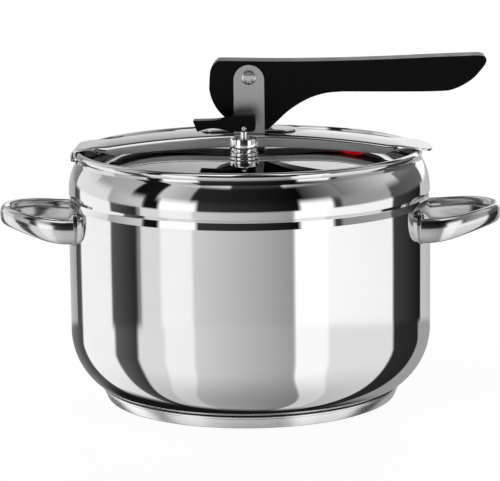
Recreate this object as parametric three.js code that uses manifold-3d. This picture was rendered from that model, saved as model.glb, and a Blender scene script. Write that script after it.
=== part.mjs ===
// A lever-lid pressure cooker of polished stainless steel. Millimetres, +Z up. The origin is the
// centre of the base on the surface that the pot stands on, and +X points to the free end of the
// locking lever. The lid sits inside the mouth and is pulled up against the collar from below: the
// lever turns on a bracket that is riveted to the lid, and its cam presses down on a spring bridge
// that spans the rim.
import * as THREE from 'three';
import { mergeVertices } from 'three/addons/utils/BufferGeometryUtils.js';
import Module from 'manifold-3d';

const wasm = await Module();
wasm.setup();

// ---- Driving dimensions ----
const GAP = 0.3; // clearance between pieces that touch
const ROUND = 48; // facets round the pot and the lid
const SMALL_ROUND = 16; // facets round valve pieces, pins and holes

// Pot
const BELLY_R = 118.2; // outer radius of the straight wall
const WALL = 1.2; // sheet thickness of the pot and the lid
const CORNER_R = 44; // radius of the rounded bottom corner
const CORNER_Z = 46; // height at which the corner meets the wall
const POT_FLOOR_Z = 8.5; // underside of the pot's own bottom, above the capsule base
const RIM_Z = 163.8; // top of the rolled rim
const CAP_SHEET = 0.9; // sheet of the capsule base

// Side handles: loops of flattened oval tube
const HANDLE_Y = 41; // each limb's distance from the middle plane
const HANDLE_END_X = 161.2; // centre line of the tube at the outer end
const HANDLE_ROOT_Z = 115.3; // centre of the tube where it meets the pot
const HANDLE_END_Z = 121.4; // centre of the tube at the outer end
const TUBE_HEIGHT = 15.5;
const TUBE_THICK = 5.5;
const TUBE_END_SCALE = 12 / 15.5; // the tube is pressed lower towards its outer end
const PAD_R = 118.5; // inner face of the weld pads

// Lid and what is fixed to it
const LID_Z = 163.4; // top of the lid's flat middle
const LID_FLAT_R = 44;
const PLUG_R = 67.6; // distance of the safety plug from the middle
const PLUG_TURN = THREE.MathUtils.degToRad(1.7);
const PLUG_TILT = Math.atan2(1.9, 15); // the lid's slope under the plug
const VALVE = { x: -1.5, y: -34 };
const VENT_PIN_Z = 181.3; // axis of the vent lever's pin
const CAP_TOP_Z = 174.8; // top of the valve cap

// Bridge bar
const BAR_HALF_WIDTH = 20;
const BAR_SHEET = 1.4;
const BAR_TOP_Z = 175.8; // top of the bar in the middle
const ARCH = 1174; // the bar's top falls by x * x / ARCH
const BAR_LEFT_X = -114.9; // outer face of the hook over the rim
const BAR_RIGHT_X = 119;
const HOOK_Z = 157.2; // lower edge of the hook
const FLANGE_Z = 166.7; // lower edge of the side flanges in the middle
const FLANGE_ARCH = 1505;
const FLANGE_END_X = 104;
const CAM_PLATE_TOP_Z = 177;
const CAM_PLATE_HALF = { x: 31, y: 10.6 };

// Bracket, pivot and locking lever
const PIVOT_X = 1.1; // the bracket and the lever stand a little right of the middle
const PIVOT_Z = 211;
const BRACKET_HALF_X = 9.8;
const BRACKET_IN_Y = 11.4;
const BRACKET_SHEET = 2.5;
const BRACKET_TOP_Z = 218.9;
const RIVET_PLACES = [[6, 6.5], [-6, 6.5], [-6, -6.5], [6, -6.5]];
const RIVET_R = 1.6;
const PIVOT_R = 4;
const LEVER_HALF_Y = 10.9;
const CAM_HEIGHT = 33.7; // pivot to the cam's sole when locked
const CAM_FALL = 5; // the cam's height falls by this much for each radian
const CAM_TURN = THREE.MathUtils.degToRad(85);

// ---- Materials ----
const finish = (color, roughness, metalness) =>
  new THREE.MeshStandardMaterial({ color, roughness, metalness });
const POLISHED = finish(0xc6c7c8, 0.08, 1);
const SATIN = finish(0x9a9a9c, 0.35, 1);
const ALUMINIUM = finish(0xb4b6b8, 0.45, 1);
const PHENOLIC = finish(0x101011, 0.35, 0);
const SILICONE = finish(0x8d8f90, 0.6, 0);
const RED_SILICONE = finish(0xb01018, 0.55, 0);

// ---- Solids ----
// A geometry as a manifold-3d solid, and a solid as a geometry.
function toSolid(geometry) {
  const bare = geometry.clone();
  bare.deleteAttribute('normal');
  bare.deleteAttribute('uv');
  const merged = mergeVertices(bare, 1e-4);
  return new wasm.Manifold(
    new wasm.Mesh({
      numProp: 3,
      vertProperties: new Float32Array(merged.attributes.position.array),
      triVerts: new Uint32Array(merged.index.array),
    }),
  );
}

function toGeometry(solid) {
  const mesh = solid.getMesh();
  const geometry = new THREE.BufferGeometry();
  geometry.setAttribute('position', new THREE.BufferAttribute(mesh.vertProperties, 3));
  geometry.setIndex(new THREE.BufferAttribute(mesh.triVerts, 1));
  return geometry;
}

const cutFrom = (geometry, cutters) =>
  toGeometry(cutters.reduce((solid, cutter) => solid.subtract(toSolid(cutter)), toSolid(geometry)));
const joined = (...geometries) =>
  toGeometry(geometries.slice(1).reduce((solid, g) => solid.add(toSolid(g)), toSolid(geometries[0])));
const common = (a, b) => toGeometry(toSolid(a).intersect(toSolid(b)));

const points = (pairs) => pairs.map(([x, y]) => new THREE.Vector2(x, y));

// Points of an arc about (x, y), from one angle to another in degrees.
function arc(x, y, radius, from, to, steps) {
  return Array.from({ length: steps + 1 }, (_, i) => {
    const angle = THREE.MathUtils.degToRad(from + ((to - from) * i) / steps);
    return [x + radius * Math.cos(angle), y + radius * Math.sin(angle)];
  });
}

// A turned solid about Z. The profile is [radius, height] pairs with the material on its left.
function turned(profile, segments) {
  return new THREE.LatheGeometry(points(profile), segments).rotateX(Math.PI / 2);
}

// A turned ring: the profile goes once round its section and closes on itself.
const ring = (profile, segments) => turned([...profile, profile[0]], segments);

// An outline in X and Z, made into a plate from y - half to y + half.
function sidePlate(outline, half, y = 0) {
  return new THREE.ExtrudeGeometry(outline, { depth: 2 * half, bevelEnabled: false })
    .translate(0, 0, -half)
    .rotateX(Math.PI / 2)
    .translate(0, y, 0);
}

// An outline in X and Y, made into a slab between two heights.
function slab(outline, low, high) {
  return new THREE.ExtrudeGeometry(outline, { depth: high - low, bevelEnabled: false, curveSegments: 6 })
    .translate(0, 0, low);
}

const outlineOf = (pairs) => new THREE.Shape(points(pairs));

function roundedRectangle(halfX, halfY, radius) {
  return outlineOf([
    ...arc(halfX - radius, halfY - radius, radius, 0, 90, 6),
    ...arc(radius - halfX, halfY - radius, radius, 90, 180, 6),
    ...arc(radius - halfX, radius - halfY, radius, 180, 270, 6),
    ...arc(halfX - radius, radius - halfY, radius, 270, 360, 6),
  ]);
}

function box(low, high) {
  const size = high.map((value, i) => value - low[i]);
  return new THREE.BoxGeometry(...size)
    .translate(...low.map((value, i) => value + size[i] / 2));
}

// A round bar along Z, or along Y about (x, z).
const upright = (radius, low, high, x = 0, y = 0) =>
  new THREE.CylinderGeometry(radius, radius, high - low, SMALL_ROUND)
    .rotateX(Math.PI / 2)
    .translate(x, y, (low + high) / 2);
const crossways = (radius, halfLength, x, y, z) =>
  new THREE.CylinderGeometry(radius, radius, 2 * halfLength, SMALL_ROUND).translate(x, y, z);

// ---- Pot ----
function potBody() {
  const start = -58.4;
  return turned([
    [0, POT_FLOOR_Z],
    ...arc(BELLY_R - CORNER_R, CORNER_Z, CORNER_R, start, 0, 8),
    [BELLY_R, 97], [117.7, 129.7], // wall
    [116.95, 134.3], [117.75, 136.2], [117.65, 140.9], // groove and bead
    [116.6, 145.5], [112.2, 157.2], // collar
    [112.75, 159.8], [112.3, 162.4], // outside of the rolled rim
    [110.8, RIM_Z], [109.7, 163.4], [109.1, 162.2], [109.1, 159.6], [109.8, 158.2],
    [111, 156.2], [115.2, 145.5], [116.4, 141], [116.5, 136.4], [115.7, 134.4], [116.5, 129.9],
    [BELLY_R - WALL, 97],
    ...arc(BELLY_R - CORNER_R, CORNER_Z, CORNER_R - WALL, 0, start, 7),
    [0, POT_FLOOR_Z + WALL],
  ], ROUND);
}

// The capsule base: a pressed stainless cap holds an aluminium disc against the pot's bottom.
function baseCap() {
  return turned([
    [0, 0], [93.6, 0], [94.6, 0.5], [98.5, 8.2], [97.5, 8.2],
    [93.9, 1.3], [93.2, CAP_SHEET], [0, CAP_SHEET],
  ], ROUND);
}

function baseCore() {
  const low = CAP_SHEET + GAP;
  return turned([[0, low], [93, low], [93.5, 1.5], [96.7, 7.9], [96.7, 8.2], [0, 8.2]], ROUND);
}

// ---- Side handles ----
// The loop's centre line lies in a level plane. The tube then rises and gets lower towards its end.
function handleLoop() {
  const path = new THREE.CurvePath();
  const corner = (x, y) => new THREE.Vector3(x, y, 0);
  const straightX = 116;
  path.add(new THREE.LineCurve3(corner(108, -HANDLE_Y), corner(straightX, -HANDLE_Y)));
  path.add(new THREE.CubicBezierCurve3(
    corner(straightX, -HANDLE_Y), corner(136, -HANDLE_Y), corner(HANDLE_END_X, -21), corner(HANDLE_END_X, 0),
  ));
  path.add(new THREE.CubicBezierCurve3(
    corner(HANDLE_END_X, 0), corner(HANDLE_END_X, 21), corner(136, HANDLE_Y), corner(straightX, HANDLE_Y),
  ));
  path.add(new THREE.LineCurve3(corner(straightX, HANDLE_Y), corner(108, HANDLE_Y)));
  const facets = 12;
  const section = Array.from({ length: facets }, (_, i) => {
    const angle = (2 * Math.PI * i) / facets;
    return [(TUBE_HEIGHT / 2) * Math.cos(angle), (TUBE_THICK / 2) * Math.sin(angle)];
  });
  const tube = new THREE.ExtrudeGeometry(outlineOf(section), {
    steps: 26, bevelEnabled: false, extrudePath: path,
  });
  const position = tube.attributes.position;
  for (let i = 0; i < position.count; i += 1) {
    const along = THREE.MathUtils.smoothstep(position.getX(i), straightX, HANDLE_END_X);
    const scale = THREE.MathUtils.lerp(1, TUBE_END_SCALE, along);
    const centre = THREE.MathUtils.lerp(HANDLE_ROOT_Z, HANDLE_END_Z, along);
    position.setZ(i, centre + scale * position.getZ(i));
  }
  const potAndPads = new THREE.CylinderGeometry(120, 120, 60, 3 * ROUND)
    .rotateX(Math.PI / 2)
    .translate(0, 0, HANDLE_ROOT_Z);
  return cutFrom(tube, [potAndPads]);
}

// A leaf-shaped weld pad that follows the pot's wall at one limb of a handle.
function weldPad(angle) {
  const middle = 117.2;
  const leaf = new THREE.Shape();
  leaf.moveTo(0, -11.2);
  leaf.quadraticCurveTo(9.5, 0, 0, 11.2);
  leaf.quadraticCurveTo(-9.5, 0, 0, -11.2);
  const prism = new THREE.ExtrudeGeometry(leaf, { depth: 12, bevelEnabled: false, curveSegments: 8 })
    .rotateX(Math.PI / 2)
    .rotateZ(Math.PI / 2)
    .translate(112, 0, middle)
    .rotateZ(angle);
  const shell = ring(
    [[PAD_R, middle - 14], [PAD_R + 1.2, middle - 14], [PAD_R + 1.2, middle + 14], [PAD_R, middle + 14]],
    3 * ROUND,
  );
  return common(prism, shell);
}

// ---- Lid ----
function lidPlate() {
  const plate = turned([
    [0, LID_Z - WALL], [LID_FLAT_R, LID_Z - WALL], [60, 161], [74.7, 159.1], [89.5, 155.8],
    [99.4, 151.8], [104.2, 148.9], [106.6, 145.9], [110.5, 145.8],
    [110.5, 147], [107.4, 147.1], [105, 150], [100, 153], [90, 157], [75, 160.4], [60, 162.3],
    [LID_FLAT_R, LID_Z], [0, LID_Z],
  ], ROUND);
  const plugHole = upright(5, -8, 8).rotateY(PLUG_TILT).translate(PLUG_R, 0, 161.2).rotateZ(PLUG_TURN);
  const valveHole = upright(5.3, LID_Z - 10, LID_Z + 10, VALVE.x, VALVE.y);
  const rivetHoles = RIVET_PLACES.map(([x, y]) =>
    upright(RIVET_R + GAP, LID_Z - 10, LID_Z + 10, PIVOT_X + x, y));
  return cutFrom(plate, [plugHole, valveHole, ...rivetHoles]);
}

// The silicone ring grips the lid's flat edge in a groove, and its upper lip seals in the collar.
function lidGasket() {
  return ring([
    [108.4, 144.2], [112.2, 144.2], [112.9, 145], [112.9, 148.5], [112.2, 150.9], [111.4, 151.6],
    [109.6, 149.4], [108.4, 147.4], [110.8, 147.3], [110.8, 145.5], [108.4, 145.5],
  ], ROUND);
}

function safetyPlug() {
  return turned([
    [0, -5], [4.4, -5], [5.6, -3.8], [5.6, -1.6], [4.4, -1.6], [4.4, GAP],
    [7, GAP], [7, 1.8], [6.2, 2.8], [4, 3.4], [0, 3.6],
  ], SMALL_ROUND).rotateY(PLUG_TILT).translate(PLUG_R, 0, 161.23).rotateZ(PLUG_TURN);
}

// ---- Bracket and pivot ----
function leverBracket() {
  const webLow = LID_Z + GAP;
  const webHigh = webLow + BRACKET_SHEET;
  const outY = BRACKET_IN_Y + BRACKET_SHEET;
  const block = box([-BRACKET_HALF_X, -outY, webLow], [BRACKET_HALF_X, outY, BRACKET_TOP_Z]);
  const arch = outlineOf([
    [-BRACKET_HALF_X, webLow - 1], [BRACKET_HALF_X, webLow - 1],
    ...arc(0, BRACKET_TOP_Z - BRACKET_HALF_X, BRACKET_HALF_X, 0, 180, 14),
  ]);
  const between = box([-20, -BRACKET_IN_Y, webHigh], [20, BRACKET_IN_Y, BRACKET_TOP_Z + 5]);
  const pivotHole = crossways(PIVOT_R + GAP, 20, 0, 0, PIVOT_Z);
  const rivetHoles = RIVET_PLACES.map(([x, y]) => upright(RIVET_R + GAP, webLow - 5, webHigh + 5, x, y));
  return cutFrom(common(block, sidePlate(arch, outY + 1)), [between, pivotHole, ...rivetHoles]);
}

function backingPlate() {
  const high = LID_Z - WALL - GAP;
  const plate = slab(roundedRectangle(13, 13, 3), high - 1.5, high);
  return cutFrom(plate, RIVET_PLACES.map(([x, y]) => upright(RIVET_R + GAP, high - 5, high + 5, x, y)));
}

function bracketRivet() {
  const webTop = LID_Z + GAP + BRACKET_SHEET + GAP;
  const plateLow = LID_Z - WALL - GAP - 1.5 - GAP;
  return turned([
    [0, plateLow - 1.2], [2.2, plateLow - 1.2], [2.8, plateLow - 0.5], [2.8, plateLow],
    [RIVET_R, plateLow], [RIVET_R, webTop], [3, webTop], [2.7, webTop + 0.9], [1.5, webTop + 1.4],
    [0, webTop + 1.5],
  ], 16);
}

function pivotPin() {
  const inner = BRACKET_IN_Y + BRACKET_SHEET + GAP;
  return turned([
    [0, -inner - 1.2], [3.9, -inner - 1.2], [4.9, -inner - 0.6], [4.9, -inner], [PIVOT_R, -inner],
    [PIVOT_R, inner], [4.9, inner], [4.9, inner + 0.6], [3.9, inner + 1.2], [0, inner + 1.2],
  ], SMALL_ROUND).rotateX(-Math.PI / 2);
}

// ---- Bridge ----
const barTop = (x) => BAR_TOP_Z - (x * x) / ARCH;
const flangeLow = (x) => FLANGE_Z - (x * x) / FLANGE_ARCH;

// Points on a curve z = height(x), evenly spaced in x.
const along = (height, from, to, steps) =>
  Array.from({ length: steps + 1 }, (_, i) => {
    const x = from + ((to - from) * i) / steps;
    return [x, height(x)];
  });

function bridgeBar() {
  const hookIn = BAR_LEFT_X + BAR_SHEET;
  const under = (x) => barTop(x) - BAR_SHEET;
  const strip = sidePlate(outlineOf([
    [BAR_LEFT_X, HOOK_Z], [hookIn, HOOK_Z], [hookIn, barTop(hookIn) - 3.4],
    [hookIn + 2, under(hookIn + 2)],
    ...along(under, -108, BAR_RIGHT_X, 20),
    ...along(barTop, BAR_RIGHT_X, -109, 20),
    [-112.4, barTop(-109) - 1.1], [-114.3, barTop(-109) - 3.2], [BAR_LEFT_X, barTop(-109) - 5],
  ]), BAR_HALF_WIDTH);
  const middle = (BAR_LEFT_X + BAR_RIGHT_X) / 2;
  const plan = roundedRectangle((BAR_RIGHT_X - BAR_LEFT_X) / 2, BAR_HALF_WIDTH, 13);
  const plate = common(strip, slab(plan, HOOK_Z - 5, BAR_TOP_Z + 5).translate(middle, 0, 0));
  const side = outlineOf([
    ...along(flangeLow, -92, 92, 14),
    [100, barTop(100) - 4.5], [FLANGE_END_X, barTop(FLANGE_END_X) - 1],
    ...along((x) => barTop(x) - 0.2, 100, -100, 14),
    [-FLANGE_END_X, barTop(FLANGE_END_X) - 1], [-100, barTop(100) - 4.5],
  ]);
  const flangeY = BAR_HALF_WIDTH - BAR_SHEET / 2;
  const flanges = [flangeY, -flangeY].map((y) => sidePlate(side, BAR_SHEET / 2, y));
  const slotHalfX = BRACKET_HALF_X + 0.4;
  const slots = [1, -1].map((way) => {
    const near = BRACKET_IN_Y - GAP;
    const far = BRACKET_IN_Y + BRACKET_SHEET + GAP;
    const [low, high] = way > 0 ? [near, far] : [-far, -near];
    return box([-slotHalfX, low, BAR_TOP_Z - 10], [slotHalfX, high, BAR_TOP_Z + 5])
      .translate(PIVOT_X, 0, 0);
  });
  return cutFrom(joined(plate, ...flanges), slots);
}

// The wear plate that the cam rubs on, welded flat on top of the bar.
function camPlate() {
  const { x: halfX, y: halfY } = CAM_PLATE_HALF;
  const strip = sidePlate(outlineOf([
    ...along((x) => barTop(x) + GAP, -halfX, halfX, 10),
    ...along((x) => CAM_PLATE_TOP_Z - (x * x) / ARCH, halfX, -halfX, 10),
  ]), halfY);
  return common(strip, slab(roundedRectangle(halfX, halfY, 9), BAR_TOP_Z - 5, CAM_PLATE_TOP_Z + 5));
}

// ---- Locking lever ----
// The cam is the involute that keeps its contact point CAM_FALL to the right of the pivot, so the
// lid drops in proportion to the lever's turn.
function camPoint(turn) {
  const height = CAM_HEIGHT - CAM_FALL * turn;
  return [
    CAM_FALL * Math.cos(turn) - height * Math.sin(turn),
    -CAM_FALL * Math.sin(turn) - height * Math.cos(turn),
  ];
}

function leverOutline() {
  const cam = Array.from({ length: 15 }, (_, i) => camPoint((CAM_TURN * (14 - i)) / 14));
  const underside = new THREE.SplineCurve(points([
    [12.4, -33.7], [17, -29.7], [25.8, -21.7], [37.1, -14.8], [48.5, -11], [60, -9.9],
  ])).getPoints(16).map(({ x, y }) => [x, y]);
  const grip = new THREE.SplineCurve(points([
    [60, -9.9], [93, -10.2], [121, -10.1], [131.5, -8.8], [142.5, -3], [149.9, 4.9], [152.2, 9],
    [151.2, 11.9], [148, 12.8],
  ])).getPoints(20).map(({ x, y }) => [x, y]);
  return outlineOf([
    ...cam,
    ...underside,
    ...grip.slice(1),
    [121, 12], [87, 10.7], [51, 9.9], [17, 9.8], [-17, 10.4],
    [-20.8, 9.6], [-23.3, 7.6], [-24.8, 4.2], [-25.4, -0.4], [-25.6, -5],
  ]);
}

const lever = () =>
  cutFrom(sidePlate(leverOutline(), LEVER_HALF_Y), [crossways(6.3, 20, 0, 0, 0)]);

function leverBush() {
  const half = LEVER_HALF_Y - 0.2;
  const inner = PIVOT_R + GAP;
  return ring([[inner, -half], [6, -half], [6, half], [inner, half]], SMALL_ROUND).rotateX(-Math.PI / 2);
}

// ---- Valve ----
function valveBody() {
  const seat = 166.4;
  const body = ring([
    [2.2, 150.5], [5, 150.5], [5, LID_Z + GAP], [9, LID_Z + GAP], [9, 165.6], [8.6, 166],
    [7.4, 166], [7.4, 172], [6.2, 172], [6.2, seat], [2.2, seat],
  ], SMALL_ROUND);
  const vents = [0, 1].map((i) => crossways(0.9, 12, 0, 0, 0).rotateZ(Math.PI * (0.25 + 0.5 * i)));
  return cutFrom(body, vents.map((vent) => vent.translate(0, 0, 167.6)));
}

const valveCap = () => ring([
  [3.1, 173.2], [7.7, 173.2], [7.7, 168.3], [9.15, 168.3], [9.15, 174.2], [8.6, CAP_TOP_Z],
  [3.1, CAP_TOP_Z],
], SMALL_ROUND);

const valveSeal = () => ring([[5.3, 160.4], [8.6, 160.4], [8.6, 161.9], [5.3, 161.9]], SMALL_ROUND);

function valveNut() {
  const hexagon = new THREE.CylinderGeometry(8.1, 8.1, 4, 6).rotateX(Math.PI / 2).translate(0, 0, 158.1);
  return cutFrom(hexagon, [upright(5.3, 150, 170)]);
}

const valveDisc = () => turned([[0, 166.7], [4.2, 166.7], [4.2, 168.2], [0, 168.2]], SMALL_ROUND);

function valveStem() {
  const stem = turned([
    [0, 168.5], [4.4, 168.5], [4.4, 169.3], [2.6, 169.3], [2.6, 183.8], [2, 184.2], [0, 184.2],
  ], SMALL_ROUND);
  return cutFrom(stem, [crossways(1.9, 10, 0, 0, VENT_PIN_Z)]);
}

class Helix extends THREE.Curve {
  getPoint(t) {
    const angle = 2 * Math.PI * 2.5 * t;
    return new THREE.Vector3(4 * Math.cos(angle), 4 * Math.sin(angle), THREE.MathUtils.lerp(170, 172.5, t));
  }
}

function valveSpring() {
  const wire = outlineOf(arc(0, 0, 0.35, 0, 300, 5));
  return new THREE.ExtrudeGeometry(wire, { steps: 40, bevelEnabled: false, extrudePath: new Helix() });
}

// ---- Vent lever ----
// A boxy head forked over the stem, with a thin arm that flares at its free end.
function ventLever() {
  const outline = outlineOf([
    [-8, -2], [5.4, -2], ...arc(5.4, 0, 2, -60, 0, 3), [7.4, 7.4], [6.6, 8.1],
    [-7.2, 8.1], [-8, 7.4], [-12, 6.2], [-18.5, 5.4], [-25, 5.4], [-32.2, 5.2],
    [-29.6, -1.8], [-24, -0.4], [-18.8, 0.3], [-12, -0.9],
  ]);
  const fork = box([-4.2, -3, -20], [20, 3, 4.2]);
  return cutFrom(sidePlate(outline, 5.5), [fork, crossways(1.9, 20, 0, 0, 0)]).translate(0, 0, VENT_PIN_Z);
}

const ventLeverPin = () => crossways(1.6, 5.9, 0, 0, VENT_PIN_Z);

// ---- Assembly ----
const cooker = new THREE.Group();

function add(name, geometry, material, parent = cooker) {
  const mesh = new THREE.Mesh(geometry, material);
  mesh.name = name;
  parent.add(mesh);
  return mesh;
}

add('pot_body', potBody(), POLISHED);
add('base_cap', baseCap(), SATIN);
add('base_core', baseCore(), ALUMINIUM);

const padAngle = Math.asin(HANDLE_Y / PAD_R);
for (const [side, turn] of [['right', 0], ['left', Math.PI]]) {
  const end = new THREE.Group();
  end.rotation.z = turn;
  cooker.add(end);
  add(`handle_${side}`, handleLoop(), POLISHED, end);
  // Turning the left end round swaps front and back.
  const front = turn === 0 ? -padAngle : padAngle;
  add(`handle_pad_${side}_front`, weldPad(front), SATIN, end);
  add(`handle_pad_${side}_back`, weldPad(-front), SATIN, end);
}

add('bridge_bar', bridgeBar(), POLISHED);
add('cam_plate', camPlate(), SATIN);

add('lid_plate', lidPlate(), POLISHED);
add('lid_gasket', lidGasket(), SILICONE);
add('safety_plug', safetyPlug(), RED_SILICONE);
const bracket = new THREE.Group();
bracket.position.x = PIVOT_X;
cooker.add(bracket);
add('lever_bracket', leverBracket(), SATIN, bracket);
add('bracket_backing_plate', backingPlate(), SATIN, bracket);
RIVET_PLACES.forEach(([x, y], i) => {
  add(`bracket_rivet_${i + 1}`, bracketRivet(), SATIN, bracket).position.set(x, y, 0);
});

const pivot = new THREE.Group();
pivot.position.z = PIVOT_Z;
bracket.add(pivot);
add('pivot_pin', pivotPin(), SATIN, pivot);
add('lever', lever(), PHENOLIC, pivot);
add('lever_bush', leverBush(), SATIN, pivot);

const valve = new THREE.Group();
valve.position.set(VALVE.x, VALVE.y, 0);
cooker.add(valve);
add('valve_body', valveBody(), POLISHED, valve);
add('valve_cap', valveCap(), POLISHED, valve);
add('valve_seal', valveSeal(), SILICONE, valve);
add('valve_nut', valveNut(), SATIN, valve);
add('valve_spring', valveSpring(), SATIN, valve);
add('valve_disc', valveDisc(), SILICONE, valve);
add('valve_stem', valveStem(), POLISHED, valve);
add('vent_lever_pin', ventLeverPin(), POLISHED, valve);
add('vent_lever', ventLever(), PHENOLIC, valve);

export default cooker;
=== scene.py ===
# %% [markdown]
# # A pressure cooker with an inside-fitting lid
# The pot, its lid, the sprung bridge over the rim, the cam lever and the valve come from a CAD
# frame that holds their sizes and joints. This lesson gives each piece the fine surface and the
# finish of the real one: polished and satin stainless steel, chrome plate, phenolic, silicone.

# %% Load the frame
import math
import bpy
from mathutils import Matrix, Vector


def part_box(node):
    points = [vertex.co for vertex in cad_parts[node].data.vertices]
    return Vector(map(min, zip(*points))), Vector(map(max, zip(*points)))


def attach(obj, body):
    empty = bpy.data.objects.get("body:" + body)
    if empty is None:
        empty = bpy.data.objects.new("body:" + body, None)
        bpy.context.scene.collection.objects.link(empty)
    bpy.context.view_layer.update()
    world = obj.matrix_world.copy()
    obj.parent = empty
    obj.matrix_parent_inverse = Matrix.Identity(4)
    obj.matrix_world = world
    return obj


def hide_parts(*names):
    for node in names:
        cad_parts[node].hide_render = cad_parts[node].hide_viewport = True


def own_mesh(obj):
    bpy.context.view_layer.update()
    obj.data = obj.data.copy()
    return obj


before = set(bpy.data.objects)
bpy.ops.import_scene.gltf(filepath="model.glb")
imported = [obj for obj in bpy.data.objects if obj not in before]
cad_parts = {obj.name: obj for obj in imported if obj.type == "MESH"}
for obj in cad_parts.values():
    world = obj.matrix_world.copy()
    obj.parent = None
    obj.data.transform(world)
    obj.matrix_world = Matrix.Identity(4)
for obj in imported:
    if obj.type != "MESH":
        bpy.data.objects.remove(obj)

MM = 0.001
FULL_TURN = 2 * math.pi
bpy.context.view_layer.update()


# %% [markdown]
# ## Sizes taken from the frame
# Every place is read from a CAD node's box, in millimetres, so that a new piece lands exactly where
# the frame has it. A piece is then described by heights above or below such a datum.

# %% Datums in millimetres
def corners(node):
    """A node's lowest and highest corners in millimetres."""
    return tuple(Vector(corner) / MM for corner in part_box(node))


pot_low, pot_high = corners("pot_body")
RIM_Z = pot_high.z
lid_high = corners("lid_plate")[1]
bar_low, bar_high = corners("bridge_bar")
pin_low, pin_high = corners("pivot_pin")
PIVOT = (pin_low + pin_high) / 2
valve_low, valve_high = corners("valve_cap")
VALVE = (valve_low + valve_high) / 2
vent_pin_low, vent_pin_high = corners("vent_lever_pin")
VENT_PIN = (vent_pin_low + vent_pin_high) / 2
print("rim at", round(RIM_Z, 1))
for name, place in (("pivot", PIVOT), ("valve", VALVE), ("vent pin", VENT_PIN)):
    print(name, "at", [round(v, 1) for v in place])


# %% [markdown]
# ## Camera
# A long lens from one and a half metres away, a little above the rim, keeps the pot's sides nearly
# upright. The camera is built from its own three directions, so its slight roll is one line.

# %% Camera
TARGET = Vector((0, 0, 0.090))
DISTANCE = 1.5
ELEVATION, AZIMUTH, ROLL = (math.radians(v) for v in (11.0, 2.35, -0.67))
back = Vector((
    math.sin(AZIMUTH) * math.cos(ELEVATION),
    -math.cos(AZIMUTH) * math.cos(ELEVATION),
    math.sin(ELEVATION),
))
right = Vector((0, 0, 1)).cross(back).normalized()
above = back.cross(right)
side_axis = math.cos(ROLL) * right + math.sin(ROLL) * above
up_axis = -math.sin(ROLL) * right + math.cos(ROLL) * above
bpy.ops.object.camera_add(location=TARGET + DISTANCE * back)
camera = bpy.context.object
camera.name = "camera"
camera.matrix_world = (
    Matrix.Translation(TARGET + DISTANCE * back)
    @ Matrix((side_axis, up_axis, back)).transposed().to_4x4()
)
camera.data.sensor_width = 36
camera.data.lens = 164.2
camera.data.shift_y = 0.0357
camera.data.clip_end = 100
bpy.context.scene.camera = camera
bpy.context.scene.view_settings.view_transform = "Standard"


# %% [markdown]
# ## Nodes in one line
# A material is a small network. One function adds a node, sets its settings and inputs by name and
# links what is given as a socket. A second one turns the sRGB hex colours that a designer reads off
# a colour card into the linear values that the renderer works in.

# %% Helpers for materials
def linear(hex_colour):
    """An sRGB hex colour as linear RGBA."""
    parts = [int(hex_colour[i:i + 2], 16) / 255 for i in (1, 3, 5)]
    return [c / 12.92 if c <= 0.04045 else ((c + 0.055) / 1.055) ** 2.4 for c in parts] + [1.0]


def add_node(tree, kind, settings=None, inputs=None):
    node = tree.nodes.new(kind)
    for key, value in (settings or {}).items():
        setattr(node, key, value)
    for key, value in (inputs or {}).items():
        if isinstance(value, bpy.types.NodeSocket):
            tree.links.new(value, node.inputs[key])
        else:
            node.inputs[key].default_value = value
    return node


def set_ramp(node, stops):
    """Gives a colour ramp its stops, (position, hex colour)."""
    ramp = node.color_ramp
    while len(ramp.elements) > 1:
        ramp.elements.remove(ramp.elements[0])
    for i, (position, colour) in enumerate(stops):
        stop = ramp.elements[0] if i == 0 else ramp.elements.new(position)
        stop.position = position
        stop.color = linear(colour)


# %% [markdown]
# ## The light tent
# Polished steel shows almost nothing of its own: what the eye reads as "steel" is the room in it. In
# a studio, white walls and black flags are stood round such a pot, so that upright light and dark
# bands run down its sides. Here the world is that tent: each layer of it is a ramp round
# the compass, for one range of heights, from the table top to the ceiling. Walls are drawn by
# compass angle: 0 is the camera's side, negative is the left.

# %% The layers of the tent
# A band of wall runs from one compass angle to another, and its grey may change on the way.
TABLE = [
    (-180, -132, "#808080", "#404040"), (-132, -93, "#ececec", "#ededed"),
    (-93, -73, "#5c5c5c", "#383838"), (-73, -53, "#d9d9d9", "#d8d8d8"),
    (-53, -33, "#eeeeee", "#ebebeb"), (-33, 30, "#cccccc", "#9a9a9a"),
    (30, 52, "#f8f8f8", "#f8f8f8"), (52, 104, "#dcdcdc", "#dbdbdb"),
    (104, 136, "#2b2b2b", "#242424"), (136, 180, "#989898", "#808080"),
]
LOW_WALL = [
    (-180, -142, "#b0b0b0", "#9a9a9a"), (-142, -132, "#404040", "#505050"),
    (-132, -95, "#ebebeb", "#eeeeee"), (-95, -72.5, "#525252", "#262626"),
    (-72.5, -69.5, "#7c7c7c", "#7c7c7c"), (-69.5, -55, "#d6d6d6", "#d6d6d6"),
    (-55, -33.4, "#f1f1f1", "#efefef"), (-33.4, 30, "#cacaca", "#929292"),
    (30, 52, "#ffffff", "#fefefe"), (52, 103.6, "#f7f7f7", "#efefef"),
    (103.6, 140, "#3a3a3a", "#141414"), (140, 180, "#bcbcbc", "#909090"),
]
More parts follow.
